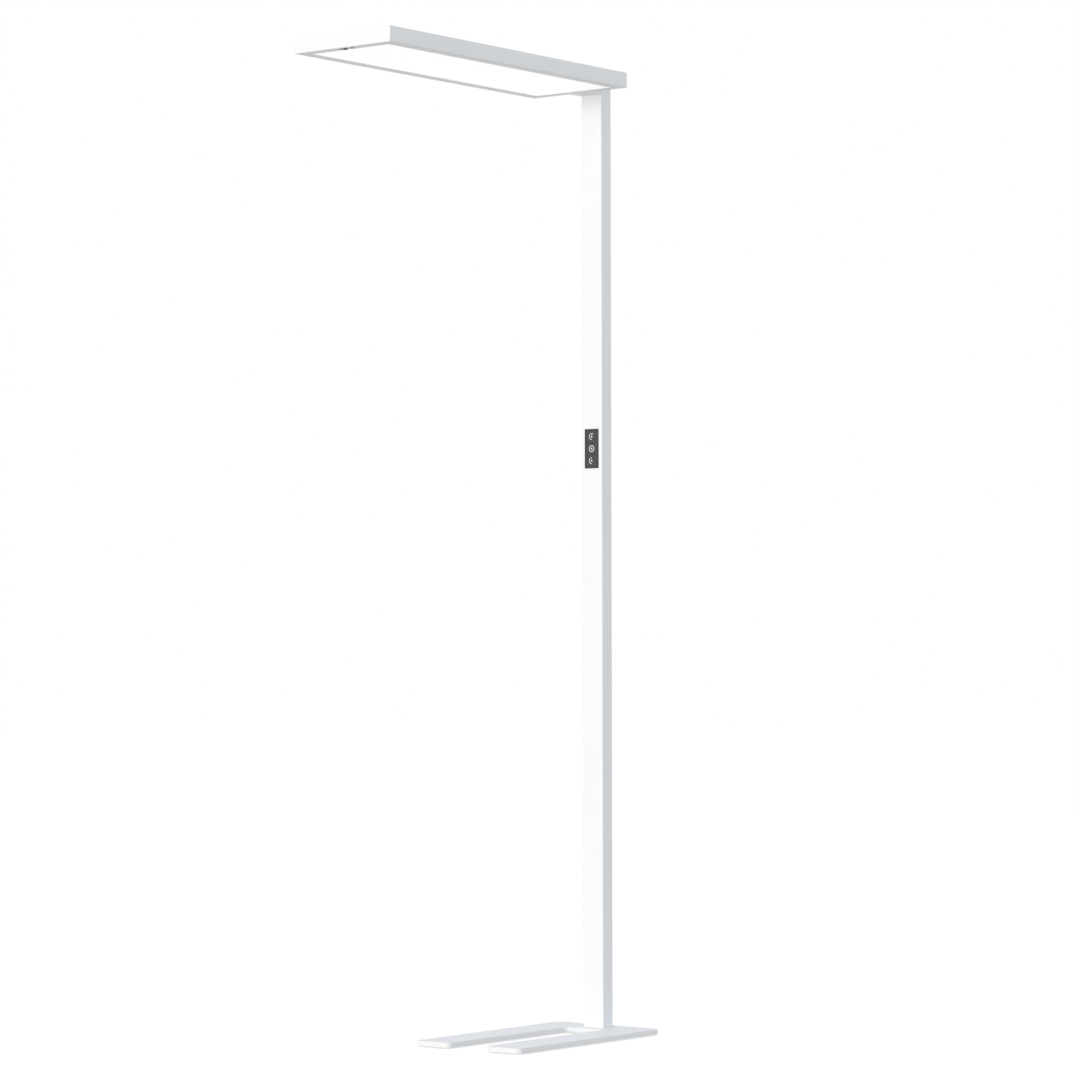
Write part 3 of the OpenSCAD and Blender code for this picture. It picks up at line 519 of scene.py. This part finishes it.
MAKERS = {
    "coated_steel": lambda s: powder_coat("Powder coat on steel plate", s.coat),
    "coated_aluminium": lambda s: powder_coat("Powder coat on extrusion", s.coat),
    "coated_casting": lambda s: powder_coat("Powder coat on casting", s.coat),
    "bare_aluminium": lambda s: drawn_metal(
        "Mill aluminium", srgb("#D9DCDE"), 0.38, 0, 0.7
    ),
    "zinc_steel": lambda s: plated_steel("Zinc plated steel", srgb("#CDD2D6"), 0.32),
    "blackened_steel": lambda s: plated_steel("Black oxide steel", srgb("#2C2C2E"), 0.4),
    "brass": lambda s: drawn_metal("Stamped brass", srgb("#D9B45C"), 0.28, 0, 0.5),
    "black_rubber": lambda s: moulded_rubber("Nitrile rubber", s.rubber),
    "black_plastic": lambda s: moulded_plastic("Black polyamide", s.black, 0.55, 0.6, 0.5),
    "dark_grey_plastic": lambda s: moulded_plastic(
        "Grey ABS surround", s.surround, 0.5, 0.5, 0.4
    ),
    "dark_grey_keys": lambda s: moulded_plastic("Grey ABS keys", s.key, 0.42, 0.5, 0.35),
    "white_plastic": lambda s: moulded_plastic("White ABS", s.coat, 0.48, 0.6, 0.3),
    "brown_sheath": lambda s: soft_sheath("Brown PVC", srgb("#6B3F22")),
    "white_sheath": lambda s: soft_sheath("White PVC", srgb("#E3E2DE")),
    "grey_sheath": lambda s: soft_sheath("Grey PVC", srgb("#8C8F92")),
    "green_board": lambda s: solder_resist("Green solder resist", srgb("#1F5B3C"), 0.3),
    "white_board": lambda s: solder_resist("White solder resist", srgb("#F0F0EC"), 0.35),
    "yellow_phosphor": lambda s: phosphor_resin("Phosphor resin"),
    "opal_acrylic": lambda s: opal_acrylic(
        "Opal acrylic", s.opal, bpy.context.scene.lamp_light.opal_glow
    ),
    "clear_acrylic": lambda s: prism_acrylic("Prismatic acrylic"),
    "dark_lens": lambda s: moulded_window("Infrared lens", s.lens, 1.6, 0.5),
    "smoked_window": lambda s: moulded_window("Smoked polycarbonate", s.smoked, 4.0, 0.1),
    "key_ink": lambda s: printed_ink("Pad-printed ink", s.symbol),
}


def finish_of(slot):
    """The material of a slot, made when it is first asked for."""
    key = "lamp_" + slot
    for material in bpy.data.materials:
        if material.get("lamp_key") == key:
            return material
    material = MAKERS[slot](bpy.context.scene.lamp_colours)
    material["lamp_key"] = key
    return material


# ---------------------------------------------------------------- pieces


def paint(*nodes):
    """Gives CAD nodes that keep their own mesh the material of their slot."""
    for node in nodes:
        for place in frame["nodes"][node].material_slots:
            place.material = finish_of(SLOT_OF[node])


def to_piece(shape, name, body, slot, finish=None):
    """Turns a bmesh into a finished piece that rides on a body."""
    mesh = bpy.data.meshes.new(name)
    shape.to_mesh(mesh)
    shape.free()
    mesh.shade_smooth()
    mesh.set_sharp_from_angle(angle=CRISP_FROM)
    mesh.materials.append(finish_of(finish or slot))
    piece = bpy.data.objects.new(name, mesh)
    bpy.context.scene.collection.objects.link(piece)
    normals = piece.modifiers.new("Even normals", "WEIGHTED_NORMAL")
    normals.keep_sharp = True
    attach(piece, body)
    return piece


def merged_copy(node):
    """A copy of a node's mesh with its loose triangles joined to plane faces."""
    shape = bmesh.new()
    shape.from_mesh(frame["nodes"][node].data)
    bmesh.ops.remove_doubles(shape, verts=shape.verts, dist=MERGE)
    bmesh.ops.dissolve_limit(
        shape, angle_limit=radians(0.3), verts=shape.verts, edges=shape.edges
    )
    return shape


def dressed(node, name, edge=0.0, steps=3, shortest=0.0, where=None):
    """Replaces a node by a copy with rounded edges and smooth shading."""
    shape = merged_copy(node)
    if edge:
        sharp = [
            e
            for e in shape.edges
            if len(e.link_faces) == 2
            and e.calc_face_angle() > ROUNDED_FROM
            and e.calc_length() >= shortest
            and (where is None or where(e.verts[0].co, e.verts[1].co))
        ]
        bmesh.ops.bevel(
            shape,
            geom=sharp,
            offset=edge,
            offset_type="OFFSET",
            segments=steps,
            profile=0.5,
            affect="EDGES",
            clamp_overlap=True,
            material=-1,
        )
    piece = to_piece(shape, name, BODY_OF[node], SLOT_OF[node])
    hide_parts(node)
    return piece


class LAMP_OT_foot(bpy.types.Operator):
    """Finish the U-shaped floor plate, its pads and its screws"""

    bl_idname = "lamp.foot"
    bl_label = "Foot"

    def execute(self, context):
        sizes = context.scene.lamp_sizes
        # Half the length and width of the area that holds the screw holes (metres)
        screws_x, screws_y = 0.02, 0.03

        def on_outline(a, b):
            # Edges in the top or bottom face, but not those of the screw holes
            flat = abs(a.z - b.z) < MERGE
            screws = all(abs(p.x) < screws_x and abs(p.y) < screws_y for p in (a, b))
            return flat and not screws

        dressed("base_plate", "floor_plate", sizes.plate_edge, steps=4, where=on_outline)
        dressed("base_pads", "rubber_pads")
        dressed("base_screws", "plate_screws_below")
        return {"FINISHED"}


class LAMP_OT_pole(bpy.types.Operator):
    """Finish the pole's extrusion, its cap and the screws in its rear face"""

    bl_idname = "lamp.pole"
    bl_label = "Pole"

    def execute(self, context):
        sizes = context.scene.lamp_sizes
        low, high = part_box("pole_tube")

        def at_sawn_outline(a, b):
            # Edges of the two sawn ends that run along the outside of the section
            level = abs(a.z - b.z) < MERGE
            depths = [
                min(high.x - p.x, p.x - low.x, high.y - p.y, p.y - low.y) for p in (a, b)
            ]
            return level and max(depths) < SKIN

        dressed("pole_tube", "pole_extrusion", sizes.metal_edge, where=at_sawn_outline)
        dressed("pole_cap", "pole_end_cap", sizes.moulded_edge)
        dressed("tray_screws", "tray_screw_heads")
        dressed("neck_rear_screws", "neck_screw_heads")
        return {"FINISHED"}


class LAMP_OT_supply(bpy.types.Operator):
    """Finish the mains inlet and the power supply inside the pole"""

    bl_idname = "lamp.supply"
    bl_label = "Power supply"

    def execute(self, context):
        edge = context.scene.lamp_sizes.moulded_edge
        blade_edge = 0.0003
        dressed("mains_inlet", "appliance_inlet", edge, shortest=0.002)
        dressed("inlet_pins", "inlet_blades", blade_edge, steps=2)
        paint("gear_tray", "led_driver", "driver_screws", "mains_wires")
        paint("output_lead", "keypad_lead")
        return {"FINISHED"}


class LAMP_OT_keypad(bpy.types.Operator):
    """Finish the surround and the three keys, and print the keys' symbols"""

    bl_idname = "lamp.keypad"
    bl_label = "Keypad"

    def execute(self, context):
        edge = context.scene.lamp_sizes.moulded_edge
        dressed("keypad_frame", "key_surround", edge, shortest=0.01)
        for node in ("key_up", "key_power", "key_down"):
            dressed(node, node + "_cap", edge, shortest=0.005)
        paint("keypad_board", "switch_bodies", "keypad_back", "keypad_screws")
        paint("plunger_up", "plunger_power", "plunger_down")
        # Arcs as seen from the front: degrees counted from the right, anticlockwise
        symbol("symbol_up", "key_up", 55, 275)
        symbol("symbol_power", "key_power", 0, 360)
        symbol("symbol_down", "key_down", 85, 272)
        return {"FINISHED"}


def symbol(name, node, start, stop):
    """Prints an arc round a dot on the middle of a key, facing +X."""
    sizes = bpy.context.scene.lamp_sizes
    low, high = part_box(node)
    shape = bmesh.new()
    outer = sizes.symbol_radius
    inner = outer - sizes.symbol_stroke
    depth = sizes.symbol_height
    corners = ((0, inner, 0), (0, outer, 0), (depth, outer, 0), (depth, inner, 0))
    profile = shape.faces.new([shape.verts.new(corner) for corner in corners])
    full = stop - start >= 360
    turn = Matrix.Rotation(radians(start), 4, "X")
    bmesh.ops.transform(shape, matrix=turn, verts=shape.verts)
    bmesh.ops.spin(
        shape,
        geom=[profile] + list(profile.verts) + list(profile.edges),
        axis=(1, 0, 0),
        cent=(0, 0, 0),
        dvec=(0, 0, 0),
        angle=radians(stop - start),
        steps=60 if full else 40,
        use_merge=full,
        use_duplicate=False,
    )
    if full:
        # The section that the spin started from is left inside the ring
        inside = [f for f in shape.faces if all(len(e.link_faces) > 2 for e in f.edges)]
        bmesh.ops.delete(shape, geom=inside, context="FACES_ONLY")
    else:
        ends = [e for e in shape.edges if e.is_boundary]
        bmesh.ops.holes_fill(shape, edges=ends, sides=4)
    bmesh.ops.create_cone(
        shape,
        cap_ends=True,
        segments=32,
        radius1=sizes.symbol_dot,
        radius2=sizes.symbol_dot,
        depth=depth,
        matrix=Matrix.Translation((depth / 2, 0, 0)) @ Matrix.Rotation(pi / 2, 4, "Y"),
    )
    bmesh.ops.remove_doubles(shape, verts=shape.verts, dist=MERGE)
    bmesh.ops.recalc_face_normals(shape, faces=shape.faces)
    centre = Vector((high.x, (low.y + high.y) / 2, (low.z + high.z) / 2))
    bmesh.ops.translate(shape, vec=centre, verts=shape.verts)
    to_piece(shape, name, BODY_OF[node], SLOT_OF[node], "key_ink")


class LAMP_OT_neck(bpy.types.Operator):
    """Finish the cast neck and the screws that hold the head on it"""

    bl_idname = "lamp.neck"
    bl_label = "Neck"

    def execute(self, context):
        sizes = context.scene.lamp_sizes
        dressed("neck_casting", "cast_neck", sizes.metal_edge, shortest=0.02)
        paint("neck_head_screws")
        return {"FINISHED"}


class LAMP_OT_head(bpy.types.Operator):
    """Finish the four mitred rails of the head and what holds them together"""

    bl_idname = "lamp.head"
    bl_label = "Head frame"

    def execute(self, context):
        sizes = context.scene.lamp_sizes
        rails = ("near", "far", "front", "rear")
        boxes = [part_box("rail_" + side) for side in rails]
        low = Vector(min(box[0][i] for box in boxes) for i in range(3))
        high = Vector(max(box[1][i] for box in boxes) for i in range(3))

        def on_long_corner(a, b):
            # Edges that run along the frame's outermost corners
            sides = min(high.x - a.x, a.x - low.x, high.y - a.y, a.y - low.y)
            return sides < MERGE and min(high.z - a.z, a.z - low.z) < MERGE

        for side in rails:
            dressed(
                "rail_" + side,
                side + "_rail",
                sizes.metal_edge,
                steps=2,
                shortest=0.1,
                where=on_long_corner,
            )
        paint("corner_keys", "corner_screws", "led_plate", "plate_screws")
        return {"FINISHED"}


class LAMP_OT_light(bpy.types.Operator):
    """Finish the opal sheet, the clear cover and the boards between them"""

    bl_idname = "lamp.light"
    bl_label = "Light"

    def execute(self, context):
        edge = context.scene.lamp_sizes.moulded_edge
        dressed("down_diffuser", "opal_sheet", edge)
        dressed("up_cover", "clear_cover", edge)
        paint("diffuser_gasket", "down_boards", "down_leds", "up_boards", "up_leds")
        paint("terminal_block", "board_leads", "sensor_lead")
        return {"FINISHED"}


class LAMP_OT_sensors(bpy.types.Operator):
    """Finish the three round windows in the front rail and what lies behind them"""

    bl_idname = "lamp.sensors"
    bl_label = "Sensors"

    def execute(self, context):
        dressed("presence_lens", "motion_lens")
        dressed("daylight_window", "light_window")
        dressed("remote_window", "remote_receiver")
        paint("sensor_holder", "sensor_board")
        return {"FINISHED"}


# ---------------------------------------------------------------- studio


class LAMP_OT_stage(bpy.types.Operator):
    """Set up the pale floor, the soft light and the camera"""

    bl_idname = "lamp.stage"
    bl_label = "Studio"

    def execute(self, context):
        scene = context.scene
        scene.view_settings.view_transform = "Standard"
        lay_floor(scene)
        fill_sky(scene)
        hang_front_lamp(scene)
        place_camera(scene)
        return {"FINISHED"}


def seen_as_backdrop(tree):
    """1 for what the camera sees, directly, in a reflection or through clear plastic."""
    rays = add(tree, "ShaderNodeLightPath")
    either = add(
        tree,
        "ShaderNodeMath",
        {"operation": "MAXIMUM"},
        {0: rays.outputs["Is Camera Ray"], 1: rays.outputs["Is Glossy Ray"]},
    )
    return add(
        tree,
        "ShaderNodeMath",
        {"operation": "MAXIMUM"},
        {0: either.outputs[0], 1: rays.outputs["Is Transmission Ray"]},
    ).outputs[0]


def lay_floor(scene):
    """Pale floor, white to the camera, that takes the lamp's shadow. It is clear from
    below, and a hair under the pads, so that their faces show from there."""
    half_size = 20
    hair = 0.0001
    shape = bmesh.new()
    bmesh.ops.create_grid(
        shape,
        x_segments=1,
        y_segments=1,
        size=half_size,
        matrix=Matrix.Translation((0, 0, -hair)),
    )
    mesh = bpy.data.meshes.new("studio_floor")
    shape.to_mesh(mesh)
    shape.free()
    floor = bpy.data.objects.new("studio_floor", mesh)
    scene.collection.objects.link(floor)
    material = bpy.data.materials.new("Studio floor")
    material.use_nodes = True
    tree = material.node_tree
    tree.nodes.clear()
    paper = add(tree, "ShaderNodeBsdfDiffuse", {"Color": (*srgb("#F8F5F2"), 1.0)})
    lift = add(
        tree,
        "ShaderNodeEmission",
        {"Color": (1, 1, 1, 1), "Strength": scene.lamp_light.floor_lift},
    )
    white = add(
        tree, "ShaderNodeAddShader", links={0: paper.outputs[0], 1: lift.outputs[0]}
    )
    # What it throws back up at the lamp is even, as from a grey floor without shadows
    bounce = add(
        tree,
        "ShaderNodeEmission",
        {"Color": (*srgb("#FFFDFB"), 1.0), "Strength": scene.lamp_light.floor_bounce},
    )
    top = add(
        tree,
        "ShaderNodeMixShader",
        links={0: seen_as_backdrop(tree), 1: bounce.outputs[0], 2: white.outputs[0]},
    )
    clear = add(tree, "ShaderNodeBsdfTransparent")
    below = add(tree, "ShaderNodeNewGeometry").outputs["Backfacing"]
    both = add(
        tree,
        "ShaderNodeMixShader",
        links={0: below, 1: top.outputs[0], 2: clear.outputs[0]},
    )
    add(tree, "ShaderNodeOutputMaterial", links={"Surface": both.outputs[0]})
    material.cycles.emission_sampling = "NONE"
    mesh.materials.append(material)


def fill_sky(scene):
    """Cool light from all round, a little weaker and less cool from above; white where the
    camera sees it."""
    world = bpy.data.worlds.new("Studio sky")
    world.use_nodes = True
    tree = world.node_tree
    tree.nodes.clear()
    place = add(tree, "ShaderNodeTexCoord").outputs["Generated"]
    height = add(tree, "ShaderNodeSeparateXYZ", links={0: place}).outputs["Z"]
    low = scaled(srgb("#F0F9FF"), scene.lamp_light.sky_low)
    high = scaled(srgb("#F4F2F8"), scene.lamp_light.sky_high)
    colour = add(
        tree,
        "ShaderNodeMix",
        {"data_type": "RGBA", 6: (*low, 1.0), 7: (*high, 1.0)},
        {0: height},
    ).outputs[2]
    light = add(tree, "ShaderNodeBackground", links={"Color": colour})
    white = add(tree, "ShaderNodeBackground", {"Color": (1, 1, 1, 1), "Strength": 1.0})
    mix = add(
        tree,
        "ShaderNodeMixShader",
        links={0: seen_as_backdrop(tree), 1: light.outputs[0], 2: white.outputs[0]},
    )
    add(tree, "ShaderNodeOutputWorld", links={"Surface": mix.outputs[0]})
    scene.world = world


def hang_front_lamp(scene):
    """Broad soft lamp far in front of the head's free end. It reaches a little higher than
    the head, whose shadow then fades out just below it on the pole."""
    distance = 26
    width = 9
    height = 3.2
    lamp = bpy.data.lights.new("Front lamp", "AREA")
    lamp.shape = "RECTANGLE"
    lamp.size = width
    lamp.size_y = height
    lamp.energy = scene.lamp_light.front
    lamp.color = srgb("#FFF8F0")
    holder = bpy.data.objects.new("Front lamp", lamp)
    holder.location = (distance, 0, height / 2)
    holder.rotation_euler = Vector((-1, 0, 0)).to_track_quat("-Z", "Y").to_euler()
    holder.visible_camera = False
    scene.collection.objects.link(holder)


def place_camera(scene):
    """The photograph's camera, from a fit to the object's straight edges."""
    frame_px = 1080
    focal_px = 3707.35
    sensor_mm = 36
    place = Vector((5.950135, 4.483767, 0.78022))
    heading = atan2(-0.616, -0.788) - radians(0.1337)
    pitch = radians(1.59)
    roll = radians(-0.0998)
    ahead = Vector((cos(heading) * cos(pitch), sin(heading) * cos(pitch), sin(pitch)))
    right = Vector((sin(heading), -cos(heading), 0))
    up = right.cross(ahead)
    across = right * cos(roll) + up * sin(roll)
    upright = up * cos(roll) - right * sin(roll)
    camera = bpy.data.cameras.new("Photo camera")
    camera.sensor_width = sensor_mm
    camera.lens = sensor_mm * focal_px / frame_px
    camera.clip_end = 100
    holder = bpy.data.objects.new("Photo camera", camera)
    turn = Matrix((across, upright, -ahead)).transposed().to_4x4()
    holder.matrix_world = Matrix.Translation(place) @ turn
    scene.collection.objects.link(holder)
    scene.camera = holder


# ---------------------------------------------------------------- panel and start


class LAMP_PT_panel(bpy.types.Panel):
    """Sizes, colours and steps of the floor lamp"""

    bl_label = "Floor Lamp"
    bl_idname = "LAMP_PT_panel"
    bl_space_type = "VIEW_3D"
    bl_region_type = "UI"
    bl_category = "Floor Lamp"

    def draw(self, context):
        layout = self.layout
        scene = context.scene
        for group in (scene.lamp_colours, scene.lamp_sizes, scene.lamp_light):
            box = layout.box()
            for name in group.bl_rna.properties.keys():
                if name not in {"rna_type", "name"}:
                    box.prop(group, name)
        column = layout.column(align=True)
        for step in STEPS:
            column.operator(step.bl_idname)


STEPS = (
    LAMP_OT_foot,
    LAMP_OT_pole,
    LAMP_OT_supply,
    LAMP_OT_keypad,
    LAMP_OT_neck,
    LAMP_OT_head,
    LAMP_OT_light,
    LAMP_OT_sensors,
    LAMP_OT_stage,
)
GROUPS = (LampColours, LampSizes, LampLight)


def register():
    for cls in (*GROUPS, *STEPS, LAMP_PT_panel):
        bpy.utils.register_class(cls)
    bpy.types.Scene.lamp_colours = PointerProperty(type=LampColours)
    bpy.types.Scene.lamp_sizes = PointerProperty(type=LampSizes)
    bpy.types.Scene.lamp_light = PointerProperty(type=LampLight)


def unregister():
    del bpy.types.Scene.lamp_light
    del bpy.types.Scene.lamp_sizes
    del bpy.types.Scene.lamp_colours
    for cls in reversed((*GROUPS, *STEPS, LAMP_PT_panel)):
        bpy.utils.unregister_class(cls)


def main():
    register()
    bpy.ops.lamp.stage()
    bpy.ops.lamp.foot()
    bpy.ops.lamp.pole()
    bpy.ops.lamp.supply()
    bpy.ops.lamp.keypad()
    bpy.ops.lamp.neck()
    bpy.ops.lamp.head()
    bpy.ops.lamp.light()
    bpy.ops.lamp.sensors()


if __name__ == "__main__":
    main()
